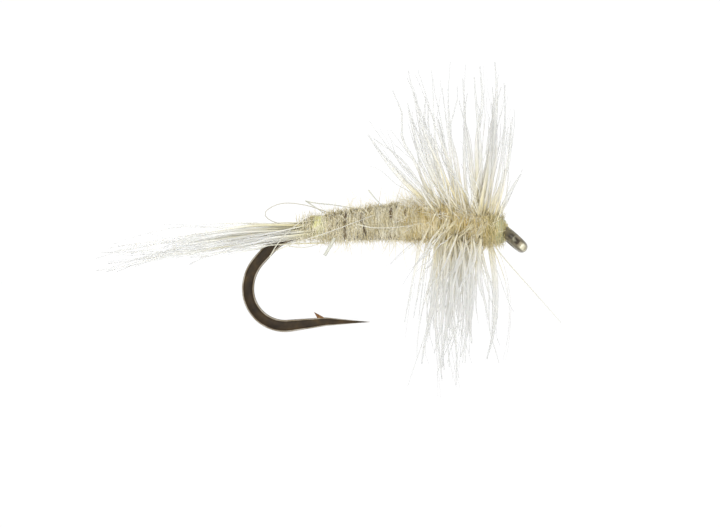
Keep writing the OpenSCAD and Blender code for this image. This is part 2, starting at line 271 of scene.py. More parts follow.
# %% Fibres from lines
def oval_profile(sides, thickness):
    curve = bpy.data.curves.new("oval", "CURVE")
    spline = curve.splines.new("POLY")
    spline.points.add(sides - 1)
    for i, point in enumerate(spline.points):
        turn = 2 * math.pi * i / sides
        point.co = (math.cos(turn), thickness * math.sin(turn), 0, 1)
    spline.use_cyclic_u = True
    oval = bpy.data.objects.new("oval", curve)
    scene.collection.objects.link(oval)
    return oval


def fibres(name, paths, widths, sides, thickness=1.0, tilts=None):
    """Mesh of many tapered fibres.

    paths is (count, points, 3) and widths (count, points), both in mm; tilts turns each flat
    fibre about its own line. The mesh gets the attributes along, shade and edge.
    """
    count, points = widths.shape
    oval = oval_profile(sides, thickness)
    curve = bpy.data.curves.new(name, "CURVE")
    curve.dimensions = "3D"
    curve.bevel_mode = "OBJECT"
    curve.bevel_object = oval
    curve.use_fill_caps = True
    for i in range(count):
        spline = curve.splines.new("POLY")
        spline.points.add(points - 1)
        spots = np.ones((points, 4))
        spots[:, :3] = paths[i] * MM
        spline.points.foreach_set("co", spots.ravel())
        spline.points.foreach_set("radius", widths[i] * MM / 2)
        if tilts is not None:
            spline.points.foreach_set("tilt", np.full(points, tilts[i]))
    drawn = bpy.data.objects.new(name, curve)
    scene.collection.objects.link(drawn)
    mesh = bpy.data.meshes.new_from_object(drawn.evaluated_get(
        bpy.context.evaluated_depsgraph_get()))
    bpy.data.objects.remove(drawn)
    bpy.data.objects.remove(oval)
    # the caps come first, last fibre first, and then the rings of each fibre in turn
    own = rng.random(count)
    ring_along = np.tile(np.repeat(np.linspace(0, 1, points), sides), count)
    cap_along = np.tile(np.repeat([1.0, 0.0], sides), count)
    shade = np.concatenate([np.repeat(own[::-1], 2 * sides), np.repeat(own, points * sides)])
    side_on = np.abs(np.cos(2 * np.pi * np.arange(sides) / sides))
    edge = np.tile(side_on, 2 * count + points * count)
    for title, values in (("along", np.concatenate([cap_along, ring_along])),
                          ("shade", shade), ("edge", edge)):
        layer = mesh.attributes.new(title, "FLOAT", "POINT")
        layer.data.foreach_set("value", values.astype(np.float32))
    bm = bmesh.new()
    bm.from_mesh(mesh)
    bmesh.ops.remove_doubles(bm, verts=bm.verts, dist=1e-9)
    # the curve's tubes come out inside out
    bmesh.ops.recalc_face_normals(bm, faces=bm.faces)
    bm.to_mesh(mesh)
    bm.free()
    return mesh


def keep_fibres(name, paths, widths, finish, node_names=(), slot=None, sides=3,
                thickness=1.0, tilts=None):
    mesh = fibres(name, paths, widths, sides, thickness, tilts)
    return keep(mesh, name, finish, node_names)


def both(first, second):
    """Put two sets of lines and widths together."""
    return [np.concatenate(pair) for pair in zip(first, second)]


def unit(v):
    return v / np.linalg.norm(v, axis=-1, keepdims=True)


def taper(points, root, tip):
    """Widths of fibres that narrow evenly from their own root width to one tip width."""
    s = np.linspace(0, 1, points)
    return root[:, None] * (1 - s) + tip * s


def bowed(roots, ways, lengths, bows, points):
    """Lines from roots along ways that bow sideways by the vectors in bows."""
    s = np.linspace(0, 1, points)[None, :, None]
    lines = roots[:, None, :] + ways[:, None, :] * lengths[:, None, None] * s
    return lines + bows[:, None, :] * lengths[:, None, None] * s ** 2


# %% [markdown]
# ## The hook
# A dry-fly hook is one length of high-carbon steel wire. Its bend is forged: pressed flat on both
# sides, so that a fine wire doesn't open. It is bronzed and lacquered, which leaves it dark
# brown; a pale gleam along the corners of the forging is a painted reflection in its colour. One
# ring of points is carried round the whole hook: spun through each arc, extruded along each
# straight, and drawn in towards the point.

# %% Hook sizes
WIRE_R = 0.235
FORGE_HALF = 0.18
# how sharply the flats of the forging turn into the round corners
FORGE_TURN = 1.35
# radius and angle in degrees of the three arcs of the bend, with a straight after the first
BEND_ARCS = [(2.05, 47.5), (1.67, 39.0), (1.43, 100.0)]
BEND_RUN = 0.6
SPEAR_L = 1.41
SPEAR_R = 0.165
SPEAR_STEPS = 5
POINT_L = 1.7
POINT_TURN = 7.0
# the share of the spear's width that is left after each step of the ground point
POINT_SHARES = (1.0, 0.8, 0.6, 0.4, 0.22, 0.05)
EYE_WIRE_R = 0.225
EYE_BORE_R = 0.25
EYE_LAND = 0.02
EYE_R = EYE_BORE_R + EYE_WIRE_R - EYE_LAND
EYE_TILT = math.radians(41.8)
NECK_R = 0.18
NECK_STEPS = ((0.25, 1.08), (0.3, WIRE_R / (NECK_R * 1.08)))
SPEAR_HEADING = 180.0 + sum(angle for _, angle in BEND_ARCS)
SHANK_FRONT = -EYE_R * math.cos(EYE_TILT)


def heading(degrees):
    turn = math.radians(degrees)
    return Vector((math.cos(turn), 0, math.sin(turn)))


# %% The wire from the eye to the point
def carry(bm, rim, step):
    """Extrude a ring of edges and move the new ring by step."""
    made = bmesh.ops.extrude_edge_only(bm, edges=rim)["geom"]
    bmesh.ops.translate(bm, verts=verts_of(made), vec=step)
    return made


def narrow(bm, geom, middle, factor):
    """Scale a ring about its own middle."""
    bmesh.ops.scale(bm, verts=verts_of(geom), vec=(factor,) * 3,
                    space=Matrix.Translation(-Vector(middle)))


def press_flat(geom):
    """Forge a ring: the sides are held at the flats, with the corners still round."""
    scale = FORGE_TURN / FORGE_HALF
    for v in verts_of(geom):
        v.co.y = FORGE_HALF * math.tanh(scale * v.co.y) / math.tanh(scale * WIRE_R)


def hook_wire():
    bm = bmesh.new()
    ring = ring_of(bm, 28, NECK_R, (math.pi / 2, "Y"))
    spot = Vector((SHANK_FRONT + 0.05, 0, SHANK_Z))
    bmesh.ops.translate(bm, verts=ring, vec=spot)
    rim = edges_of(ring)
    # the wire swells from the eye to its full size, and runs back to the bend
    for length, factor in NECK_STEPS:
        geom = carry(bm, rim, Vector((-length, 0, 0)))
        spot.x -= length
        narrow(bm, geom, spot, factor)
        rim = rim_of(geom)
    geom = carry(bm, rim, Vector((BEND_X + 0.25 - spot.x, 0, 0)))
    rim = rim_of(geom)
    geom = carry(bm, rim, Vector((-0.25, 0, 0)))
    press_flat(geom)
    spot = Vector((BEND_X, 0, SHANK_Z))
    turned = 180.0
    for i, (radius, angle) in enumerate(BEND_ARCS):
        centre = spot + radius * heading(turned + 90)
        made = bmesh.ops.spin(bm, geom=verts_of(geom) + rim_of(geom), cent=centre,
                              axis=(0, -1, 0), angle=math.radians(angle),
                              steps=round(angle / 4), use_merge=False, use_duplicate=False)
        geom = made["geom_last"]
        spot = centre - radius * heading(turned + angle + 90)
        turned += angle
        if i == 0:
            geom = carry(bm, rim_of(geom), BEND_RUN * heading(turned))
            spot = spot + BEND_RUN * heading(turned)
    # the spear thins evenly, then the point is ground down to nothing
    step = SPEAR_L / SPEAR_STEPS
    radii = np.linspace(WIRE_R, SPEAR_R, SPEAR_STEPS + 1)
    for before, after in zip(radii, radii[1:]):
        geom = carry(bm, rim_of(geom), step * heading(turned))
        spot = spot + step * heading(turned)
        narrow(bm, geom, spot, float(after / before))
    turned -= POINT_TURN
    for before, after in zip(POINT_SHARES, POINT_SHARES[1:]):
        # the last step is a little longer, for a needle tip
        step = POINT_L * (before - after) * (1.0 if after > POINT_SHARES[-1] else 1.25)
        geom = carry(bm, rim_of(geom), step * heading(turned))
        spot = spot + step * heading(turned)
        narrow(bm, geom, spot, after / before)
    bmesh.ops.contextual_create(bm, geom=rim_of(geom))
    bmesh.ops.contextual_create(bm, geom=rim_of(edges_of(ring)))
    print("point ends at", [round(v, 2) for v in spot])
    return bm, spot


# %% The barb, the sliver that is cut up out of the spear
# a spot on each cutting plane and the way it looks, for the top, the back and the root
BARB_CUTS = (((0.06, 0, 0.1), (0.57, 0, 0.82)), ((-0.40, 0, 0.42), (-0.86, 0, -0.36)),
             ((-0.24, 0, 0.06), (-0.2, 0, -1)))


def barb_sliver(root, angle):
    """A cube cut down by three planes to a thin spike, then turned to lie along the spear."""
    bm = bmesh.new()
    bmesh.ops.create_cube(bm, size=1.0)
    bmesh.ops.scale(bm, verts=bm.verts, vec=(0.62, 0.15, 0.5))
    bmesh.ops.translate(bm, verts=bm.verts, vec=(-0.18, 0, 0.2))
    for spot, away in BARB_CUTS:
        bmesh.ops.bisect_plane(bm, geom=bm.verts[:] + bm.edges[:] + bm.faces[:], plane_co=spot,
                               plane_no=away, clear_outer=True, dist=1e-6)
        bmesh.ops.holes_fill(bm, edges=open_edges(bm))
    bmesh.ops.rotate(bm, verts=bm.verts, cent=(0, 0, 0), matrix=Matrix.Rotation(-angle, 3, "Y"))
    bmesh.ops.translate(bm, verts=bm.verts, vec=root)
    return bm


# %% Finishes for the hook
def bronzed_steel():
    """High-carbon wire, drawn, bronzed in hot salts and lacquered: a dark brown body colour under
    a thin clear coat, with the drawing lines just visible along the wire. A pale steel-grey gleam
    where the flats turn into the round corners is a painted reflection."""
    finish, tree, shader = new_finish("bronzed_lacquered_steel", Roughness=0.45,
                                      Specular_IOR_Level=0.12, Coat_Weight=0.08,
                                      Coat_Roughness=0.12)
    where = add(tree, "ShaderNodeTexCoord").outputs["Object"]
    # patches about 0.4 mm across, where the bronzing took more or less
    patches = add(tree, "ShaderNodeTexNoise", {"Vector": where, "Scale": 2500.0, "Detail": 3.0})
    tone = blend_of(tree, [(0.3, "1f1507"), (0.55, "312410"), (0.75, "463417")],
                    patches.outputs["Fac"])
    # painted reflection: a pale steel-grey gleam is painted into the colour where the flat sides
    # of the forging turn into its round edges, picked out by how far the surface faces sideways;
    # the edges themselves are as brown as the flats
    facing = add(tree, "ShaderNodeTexCoord").outputs["Normal"]
    across = add(tree, "ShaderNodeSeparateXYZ", {"Vector": facing}).outputs["Y"]
    flatness = add(tree, "ShaderNodeMath", {0: across}, operation="ABSOLUTE").outputs[0]
    painted_gleam = blend_of(tree, [(0.3, "000000"), (0.5, "f2f2f2"), (0.74, "f2f2f2"), (0.9, "000000")],
                    flatness)
    # pale steel-grey tone of the painted reflection
    steel = blend_of(tree, [(0.4, "94866f"), (0.6, "bdb5a6")], patches.outputs["Fac"])
    # sockets 6 and 7 are the two colours of a Mix node, and output 2 is the mixed colour
    mixed = add(tree, "ShaderNodeMix", {0: painted_gleam, 6: tone, 7: steel}, data_type="RGBA")
    tree.links.new(mixed.outputs[2], shader.inputs["Base Color"])
    # drawing lines 0.03 mm apart
    lines = add(tree, "ShaderNodeTexNoise", {"Vector": where, "Scale": 30000.0, "Detail": 2.0})
    bump = add(tree, "ShaderNodeBump", {"Height": lines.outputs["Fac"], "Strength": 0.15,
                                        "Distance": 0.00002})
    tree.links.new(bump.outputs["Normal"], shader.inputs["Normal"])
    return finish


def eye_metal_painted_reflections():
    """The eye's colour is mostly painted reflection: along the ring, brown-black and grey bands
    stand for the dark and light surroundings it mirrors, with a cream painted highlight near its
    front; its sides take a taupe to olive-grey tone."""
    finish, tree, shader = new_finish("eye_bronze_with_painted_reflections", Metallic=0.45,
                                      Roughness=0.3, Coat_Weight=0.2, Coat_Roughness=0.1)
    where = add(tree, "ShaderNodeTexCoord").outputs["Object"]
    # turned so that X runs along the tilted ring and Z across it, and scaled to millimetres
    turned = add(tree, "ShaderNodeMapping", {"Vector": where, "Scale": (1000.0, 1000.0, 1000.0),
                                             "Rotation": (0.0, -EYE_TILT, 0.0)})
    spots = add(tree, "ShaderNodeTexNoise", {"Vector": turned.outputs["Vector"], "Scale": 5.0,
                                             "Detail": 2.0})
    parts = add(tree, "ShaderNodeSeparateXYZ", {"Vector": turned.outputs["Vector"]})
    uneven = add(tree, "ShaderNodeMath", {0: spots.outputs["Fac"], 1: 0.3, 2: -0.15},
                 operation="MULTIPLY_ADD").outputs[0]
    along = add(tree, "ShaderNodeMath", {0: parts.outputs["X"], 1: uneven}).outputs[0]
    # -0.7 mm is where the ring meets the shank and 0.7 mm is its front
    place = add(tree, "ShaderNodeMapRange", {"Value": along, "From Min": -0.7, "From Max": 0.7})
    # painted reflections along the ring: dark bands for what is dark around it, grey between
    # them, and a cream painted highlight near the front
    painted_reflection_bands = blend_of(tree, [(0.2, "6f664e"), (0.37, "2e281a"), (0.45, "302a1c"),
                            (0.51, "77735f"), (0.57, "2b2214"), (0.66, "3f3322"),
                            (0.74, "a89f85"), (0.82, "fffbe0"), (0.92, "a39c7e"),
                            (1.0, "6b655a")], place.outputs["Result"])
    off_middle = add(tree, "ShaderNodeMath", {0: parts.outputs["Z"]}, operation="ABSOLUTE")
    rim = add(tree, "ShaderNodeMapRange", {"Value": off_middle.outputs[0], "From Min": 0.07,
                                           "From Max": 0.14}).outputs["Result"]
    sides = blend_of(tree, [(0.3, "4c472f"), (0.7, "7f7663")], spots.outputs["Fac"])
    mixed = add(tree, "ShaderNodeMix", {0: rim, 6: painted_reflection_bands, 7: sides}, data_type="RGBA")
    tree.links.new(mixed.outputs[2], shader.inputs["Base Color"])
    return finish


def rusty_barb_steel():
    """The cut that raised the barb broke the lacquer, so the sliver has browned."""
    finish, tree, shader = new_finish("browned_cut_steel", Roughness=0.6,
                                      Specular_IOR_Level=0.25)
    where = add(tree, "ShaderNodeTexCoord").outputs["Object"]
    # rust in grains about 0.1 mm across
    grains = add(tree, "ShaderNodeTexNoise", {"Vector": where, "Scale": 9000.0, "Detail": 3.0})
    tone = blend_of(tree, [(0.35, "4a3018"), (0.55, "7a5328"), (0.7, "8f7a55")],
                    grains.outputs["Fac"])
    tree.links.new(tone, shader.inputs["Base Color"])
    bump = add(tree, "ShaderNodeBump", {"Height": grains.outputs["Fac"], "Strength": 0.3,
                                        "Distance": 0.00002})
    tree.links.new(bump.outputs["Normal"], shader.inputs["Normal"])
    return finish


# %% The eye
def hook_eye():
    bm = bmesh.new()
    ring = ring_of(bm, 24, EYE_WIRE_R, (math.pi / 2, "X"))
    bmesh.ops.translate(bm, verts=ring, vec=(EYE_R, 0, 0))
    # the inner wall is coined to a true cylinder where the wire would stand in the bore
    for v in ring:
        v.co.x = max(v.co.x, EYE_BORE_R)
    bmesh.ops.spin(bm, geom=ring + edges_of(ring), cent=(0, 0, 0), axis=(0, 0, 1),
                   angle=math.tau, steps=48, use_merge=True, use_duplicate=False)
    bmesh.ops.rotate(bm, verts=bm.verts, cent=(0, 0, 0),
                     matrix=Matrix.Rotation(EYE_TILT, 3, "Y"))
    return bm


wire, point_tip = hook_wire()
barb_root = point_tip - POINT_L * heading(SPEAR_HEADING - POINT_TURN)
keep_solid(barb_sliver(barb_root, math.radians(SPEAR_HEADING)), "hook_barb",
           rusty_barb_steel(), (), smooth=False)
keep_solid(wire, "hook_wire", bronzed_steel(), ["hook"])
keep_solid(hook_eye(), "hook_eye", eye_metal_painted_reflections(), ())


# %% [markdown]
# ## The body's shape
# The fur is thicker on top, because the tail butts and the hackle butts lie on the back of the
# shank. One table says how high the body's middle is above the shank and how thick it is, from
# the tail to the head, and the fur noodle, the fur fibres and the feathers all follow it.

# %% Body shape
# share of the way from the tail to the head, height above the shank, radius
BODY_SHAPE = np.array([(-0.25, 0.00, 0.26), (-0.18, 0.05, 0.33), (-0.1, 0.11, 0.38),
                       (0.0, 0.13, 0.42), (0.2, 0.27, 0.55), (0.4, 0.36, 0.62),
                       (0.6, 0.39, 0.70), (0.8, 0.34, 0.74), (0.93, 0.15, 0.66),
                       (1.0, 0.07, 0.55), (1.12, 0.03, 0.45), (1.18, 0.00, 0.34)])


def body_at(x):
    """Middle height and radius of the body at stations x, read between the table's rows."""
    share = (x - BODY_BACK) / (BODY_FRONT - BODY_BACK)
    rises = np.interp(share, BODY_SHAPE[:, 0], BODY_SHAPE[:, 1])
    radii = np.interp(share, BODY_SHAPE[:, 0], BODY_SHAPE[:, 2])
    return SHANK_Z + rises, radii


def round_body(x, angle, lift):
    """Points at stations x, angle round the body (0 up, 90 degrees towards -Y), lift above it."""
    middle, radius = body_at(x)
    out = radius + lift
    return np.stack([x, -out * np.sin(angle), middle + out * np.cos(angle)], axis=-1)


# %% [markdown]
# ## Fur
# Fur for a body is spun on the thread as a loose noodle and wound on in touching turns. The
# noodle is one small ring spun round the shank with a little forward travel at each step. The
# fibres that make it furry lie mostly along the winding and lift away a little; a few long
# guard hairs stand out.

# %% The wound noodle
NOODLE_R = 0.2
# how far its outside lies below the surface of the body
NOODLE_SUNK = 0.07


def noodle(x_back, x_front, turns):
    """A ring spun round the shank axis, then moved out to the body's surface."""
    bm = bmesh.new()
    ring = ring_of(bm, 10, NOODLE_R, (math.pi / 2, "Y"), (math.pi / 2, "Z"))
    bmesh.ops.translate(bm, verts=ring, vec=(x_back, 0, 1.0))
    wind(bm, ring, x_front - x_back, turns, 30 * turns)
    for v in bm.verts:
        angle = math.atan2(-v.co.y, v.co.z)
        local = math.hypot(v.co.y, v.co.z) - 1.0
        lump = 0.03 * math.sin(5.3 * v.co.x + 2 * angle) * math.sin(7.1 * v.co.x - 3 * angle)
        lift = local - NOODLE_R + lump - NOODLE_SUNK
        v.co = Vector(round_body(np.array(v.co.x), np.array(angle), lift))
    return bm


# %% Fur finishes
def spun_fur(name, stops):
    """Underfur, dyed and spun: matt, with every fibre a slightly different shade."""
    finish, tree, shader = new_finish(name, Roughness=0.85, Sheen_Weight=0.25,
                                      Sheen_Roughness=0.5, Specular_IOR_Level=0.25,
                                      Subsurface_Weight=0.15, Subsurface_Scale=0.0001)
    shader.inputs["Subsurface Radius"].default_value = (1.0, 0.9, 0.7)
    where = add(tree, "ShaderNodeTexCoord").outputs["Object"]
    # soft patches about 0.7 mm across, from the uneven mixing of the fur
    patches = add(tree, "ShaderNodeTexNoise", {"Vector": where, "Scale": 1400.0, "Detail": 2.0})
    own = add(tree, "ShaderNodeAttribute", attribute_name="shade").outputs["Fac"]
    spread = add(tree, "ShaderNodeMath", {0: own, 1: 0.55}, operation="MULTIPLY").outputs[0]
    mixed = add(tree, "ShaderNodeMath", {0: spread, 1: patches.outputs["Fac"]}).outputs[0]
    tree.links.new(blend_of(tree, stops, mixed), shader.inputs["Base Color"])
    return finish


# %% Fur fibres
ALONG = np.array([1.0, 0.0, 0.0])
FUR_TIP = 0.008
GAP_HALF = 0.05


def out_and_round(angle):
    """The ways out of the body and round it at each angle from the top."""
    none = np.zeros(len(angle))
    out = np.stack([none, -np.sin(angle), np.cos(angle)], axis=-1)
    around = np.stack([none, -np.cos(angle), -np.sin(angle)], axis=-1)
    return out, around


def scatter(size, count):
    """A column of normally spread shares, one for each fibre."""
    return rng.normal(0, size, count)[:, None]


def fur(x_back, x_front, count, width, gaps=()):
    """Short fibres that lie round the body and lift off it; gaps are stations left thin."""
    x = rng.uniform(x_back, x_front, count)
    for spot in gaps:
        x = x[np.abs(x - spot) > GAP_HALF * rng.random(len(x))]
    count = len(x)
    angle = rng.uniform(0, math.tau, count)
    roots = round_body(x, angle, rng.uniform(-0.10, 0.03, count))
    out, around = out_and_round(angle)
    # four fibres in five lie the way the noodle was wound
    spin_way = np.where(rng.random(count) < 0.8, 1.0, -1.0)[:, None]
    lift = rng.uniform(0.0, 0.38, count)[:, None]
    ways = unit(around * spin_way + out * lift + ALONG * scatter(0.16, count))
    lengths = rng.uniform(0.3, 0.7, count)
    curl = rng.uniform(0.15, 0.55, count)[:, None]
    lines = bowed(roots, ways, lengths, ALONG * scatter(0.1, count) - out * curl, 5)
    return lines, taper(5, width * rng.uniform(0.6, 1.5, count), FUR_TIP)


def guard_hair(x_back, x_front, count, longest):
    """Longer single hairs that stand out of the fur in all directions."""
    x = rng.uniform(x_back, x_front, count)
    angle = rng.uniform(0, math.tau, count)
    roots = round_body(x, angle, -0.05)
    out, around = out_and_round(angle)
    ways = unit(out + around * scatter(0.6, count) + ALONG * scatter(0.5, count))
    lengths = longest * rng.uniform(0.25, 1.0, count) ** 1.6
    bows = around * scatter(0.4, count) + ALONG * scatter(0.3, count)
    return bowed(roots, ways, lengths, bows, 6), taper(6, np.full(count, 0.022), 0.006)


# %% Abdomen and thorax
CREAM = [(0.3, "8a784e"), (0.5, "cabb8c"), (0.72, "e4d9b1"), (0.95, "fdf7e0")]
OCHRE = [(0.3, "9f8140"), (0.5, "ccb36a"), (0.75, "e3d08f"), (1.0, "f8edc8")]
cream_fur = spun_fur("cream_underfur", CREAM)
ochre_fur = spun_fur("ochre_underfur", OCHRE)
GAPS = (-6.47, -5.78, -4.74)
keep_solid(noodle(BODY_BACK - 0.02, WAIST_X, 10), "abdomen_noodle", cream_fur,
           ["abdomen_dubbing"])
keep_solid(noodle(WAIST_X, BODY_FRONT - 0.12, 8), "thorax_noodle", ochre_fur,
           ["thorax_dubbing"])
# the fur of the abdomen, and a little that creeps back over the tail's binding
abdomen = both(fur(BODY_BACK - 0.12, WAIST_X + 0.5, 6000, 0.03, GAPS),
               fur(BODY_BACK - 1.2, BODY_BACK - 0.1, 560, 0.024))
keep_fibres("abdomen_fur", *abdomen, cream_fur, (), "cream_fur")
thorax = fur(WAIST_X - 0.2, BODY_FRONT + 0.5, 5200, 0.03)
keep_fibres("thorax_fur", *thorax, ochre_fur, (), "ochre_fur")
guard = both(guard_hair(BODY_BACK - 0.2, WAIST_X + 0.6, 420, 1.0),
             guard_hair(WAIST_X - 0.6, BODY_FRONT + 0.5, 520, 1.1))
keep_fibres("guard_hair", *guard, cream_fur, ["guard_hairs"], "cream_fur")


# %% Fluff on the shoulders, and fur run on to the head
def fluff(x_back, x_front, count, longest, width):
    """Downy hairs on the upper half that stand up and are swept towards the tail."""
    x = rng.uniform(x_back, x_front, count)
    angle = rng.normal(0, 0.75, count)
    roots = round_body(x, angle, -0.06)
    out, _ = out_and_round(angle)
    ways = unit(out - 0.75 * ALONG + rng.normal(0, 0.35, (count, 3)))
    lengths = longest * rng.uniform(0.35, 1.0, count)
    bows = rng.normal(0, 0.12, (count, 3)) - out * 0.15
    return bowed(roots, ways, lengths, bows, 5), taper(5, np.full(count, width), FUR_TIP)


DOWN = [(0.3, "d8cba4"), (0.55, "eee6cb"), (0.8, "f7f3e6"), (1.0, "fffdf6")]
OLIVE = [(0.3, "93834a"), (0.5, "aa9c60"), (0.75, "c0b378"), (1.0, "d9d0a2")]
down = fluff(-4.2, BODY_FRONT - 0.1, 900, 0.75, 0.026)
keep_fibres("shoulder_down", *down, spun_fur("pale_down", DOWN), (), "cream_fur")
on_head = fur(BODY_FRONT - 0.1, HEAD_FRONT - 0.05, 620, 0.03)
keep_fibres("head_fur", *on_head, spun_fur("olive_underfur", OLIVE), (), "ochre_fur")

# %% [markdown]
# The fur was not wound quite closely, so the grey-brown thread of the underbody shows in a few
# narrow slits between turns. Each slit is four short dark arcs laid round the body, in the
# thread's colour darkened further by painted shade of the slit.

# %% Slits between turns of fur
# station, where the slit starts and ends round the body in degrees from the top, slant
SLITS = [(-6.47, 30, 80, 0.0), (-6.50, 102, 155, 0.03), (-5.84, 48, 84, 0.02),
         (-5.76, 92, 138, 0.10), (-4.70, 46, 86, 0.0), (-4.20, 50, 70, 0.05),
         (-6.30, -40, -110, 0.05), (-5.30, -60, -130, -0.04), (-4.60, -30, -90, 0.06)]


def slits():
    s = np.linspace(0, 1, 8)
    lines = []
    for x, start, end, slant in SLITS:
        for _ in range(4):
            angle = np.radians(start + (end - start) * s + rng.normal(0, 4))
            station = x + slant * s + rng.normal(0, 0.022) + 0.01 * np.sin(9 * s + rng.random())
            lines.append(round_body(station, angle, 0.05 + 0.04 * rng.random()))
    widths = 0.025 + 0.055 * np.sin(np.pi * s)
    return np.array(lines), np.tile(widths, (len(lines), 1))


# the underbody thread's grey-brown, darkened further by painted shade where the slits are
UNDERBODY_IN_SLIT_SHADE = [(0.3, "3c3020"), (0.6, "594a34"), (1.0, "77684c")]
slit_shade_finish = spun_fur("underbody_thread_in_painted_shade", UNDERBODY_IN_SLIT_SHADE)
keep_fibres("underbody_slits", *slits(), slit_shade_finish, (), "olive_thread", sides=4)


# %% [markdown]
# ## Feather barbs
# Tail and hackle are barbs of a cock's neck feather. A barb is a flat, springy ribbon of keratin,
# cream and solid at its root and pale and part clear beyond it, so light goes through it and its
# two edges look a little darker than its middle. That darkening of the edges is painted shade in
# the barb's colour.

# %% Barb finish
def feather_barb(name, stops, middle="c6c6c6", tip="c4c4c4", painted_edge_shade=0.9,
                 clear_at=(0.05, 0.4)):
    """Undyed feather keratin, faintly glossy; stops run along the barb from root to tip."""
    finish, tree, shader = new_finish(name, Roughness=0.42, Specular_IOR_Level=0.4,
                                      Sheen_Weight=0.1, Subsurface_Weight=0.5,
                                      Subsurface_Scale=0.0002)
    shader.inputs["Subsurface Radius"].default_value = (1.0, 0.95, 0.85)
    along = add(tree, "ShaderNodeAttribute", attribute_name="along").outputs["Fac"]
    own = add(tree, "ShaderNodeAttribute", attribute_name="shade").outputs["Fac"]
    edge = add(tree, "ShaderNodeAttribute", attribute_name="edge").outputs["Fac"]
    # the cream runs out at a different length on each barb
    shift = add(tree, "ShaderNodeMapRange", {"Value": own, "To Min": -0.12, "To Max": 0.12})
    place = add(tree, "ShaderNodeMath", {0: along, 1: shift.outputs["Result"]}).outputs[0]
    tone = blend_of(tree, stops, place)
    # painted shade: each barb's colour is darkened towards its two thin edges, as the edges of a
    # clear fibre look darker
    rim = add(tree, "ShaderNodeMapRange", {"Value": edge, "From Min": 0.6, "From Max": 1.0,
                                           "To Min": 1.0, "To Max": painted_edge_shade}).outputs["Result"]
    dark = add(tree, "ShaderNodeMix", {0: 1.0, 6: tone, 7: rim}, data_type="RGBA",
               blend_type="MULTIPLY")
    tree.links.new(dark.outputs[2], shader.inputs["Base Color"])
    # solid at the root and part clear beyond it (grey levels are alpha)
    clear = blend_of(tree, [(clear_at[0], "f0f0f0"), (clear_at[1], middle), (1.0, tip)], along)
    tree.links.new(clear, shader.inputs["Alpha"])
    return finish


# %% Bundles of barbs
def bundle(root, tip, count, root_spread, tip_spread, bow, points=12, short=0.25):
    """Barbs that leave one spot and stay together towards one tip, some of them shorter."""
    roots = np.array(root) + rng.normal(0, 1, (count, 3)) * np.array(root_spread)
    tips = np.array(tip) + rng.normal(0, 1, (count, 3)) * tip_spread
    reach = (tips - roots) * (1 - short * rng.random(count) ** 1.5)[:, None]
    s = np.linspace(0, 1, points)[None, :, None]
    lines = roots[:, None, :] + reach[:, None, :] * s
    size = np.linalg.norm(reach, axis=1)[:, None, None]
    bend = np.array(bow)[None, None, :] + rng.normal(0, 0.035, (count, 1, 3))
    lines = lines + bend * size * np.sin(np.pi * s * 0.9)
    # soft kinks from the feather having been bound and brushed
    wave = rng.normal(0, 0.013, (count, 1, 3)) * size
    turns = rng.uniform(0.8, 2.4, (count, 1, 1))
    start = rng.uniform(0, math.tau, (count, 1, 1))
    return lines + wave * (np.sin(math.tau * turns * s + start) - np.sin(start)) * s


def barb_widths(count, points, fine, broad):
    """Most barbs are fine and a few are broad; each narrows to about a quarter at its tip."""
    own = fine + (broad - fine) * rng.random(count) ** 2
    s = np.linspace(0, 1, points)
    return own[:, None] * (0.85 + 0.15 * np.sin(np.pi * s)) * (1 - 0.75 * s ** 2.5) + 0.006


def keep_barbs(name, lines, fine, broad, finish, node_names=(), slot="hackle_barb",
               thickness=0.35):
    """Keep flat barbs, each turned at random about its own line."""
    widths = barb_widths(len(lines), lines.shape[1], fine, broad)
    tilts = rng.uniform(0, math.pi, len(lines))
    keep_fibres(name, lines, widths, finish, node_names, slot, 6, thickness, tilts)


# %% [markdown]
# ## The tail
# About seventy barbs tied in on top of the bend. They stay together as one bundle that droops a
# little, split into an upper and a lower brush near the tips, with a few strays above. They
# are laid as bundles between two spots because that is how a fly tier measures them.

# %% Tail
def tail():
    root = (-7.45, -0.08, 0.40)
    # tip, count, spread of the tips, bow
    rows = [((-15.8, 0.0, -0.52), 17, 0.15, (0, 0, 0.008)),
            ((-15.9, 0.2, -1.20), 13, 0.13, (0, 0, 0.02)),
            ((-13.9, -0.3, -0.32), 10, 0.14, (0, 0, 0.010)),
            ((-13.2, 0.4, -0.75), 6, 0.15, (0, 0, 0.015)),
            ((-14.9, 0.4, 0.52), 2, 0.05, (0, 0, -0.012)),
            ((-14.5, -0.4, 0.20), 1, 0.05, (0, 0, -0.01))]
    lines = [bundle(root, tip, count, (0.15, 0.15, 0.14), spread, bow, short=0.2)
             for tip, count, spread, bow in rows]
    # shorter barbs on both flanks hide the top of the bend
    for side in (-1, 1):
        lines.append(bundle((-7.5, 0.30 * side, 0.22), (-11.6, 0.55 * side, -0.38), 12,
                            (0.12, 0.06, 0.13), 0.13, (0, 0, 0.02), short=0.3))
    return np.concatenate(lines)


TAIL_TONES = [(0.0, "c9bf94"), (0.2, "dcd6b6"), (0.4, "f8f6ea"), (0.6, "fdfdfa"),
              (0.78, "efefeb"), (1.0, "dadad6")]
tail_finish = feather_barb("tail_barb_keratin", TAIL_TONES, "aaaaaa", "b4b4b4", 0.98,
                           (0.22, 0.5))
keep_barbs("tail_barbs", tail(), 0.07, 0.17, tail_finish, ["tail_fibres"], "tail_barb")

# %% [markdown]
# ## The hackle
# Two feathers are wound over the thorax on edge, so their barbs stand out like the spokes of a
# wheel. They are never even: barbs that grew side by side hold together and share a lean, so
# the collar is a set of brushes. Above the body the brushes fan from the tail to the eye. Below
# it they hang more steeply and thickly. On the flanks they first lie against the fur, swept
# down and back, and then leave it.

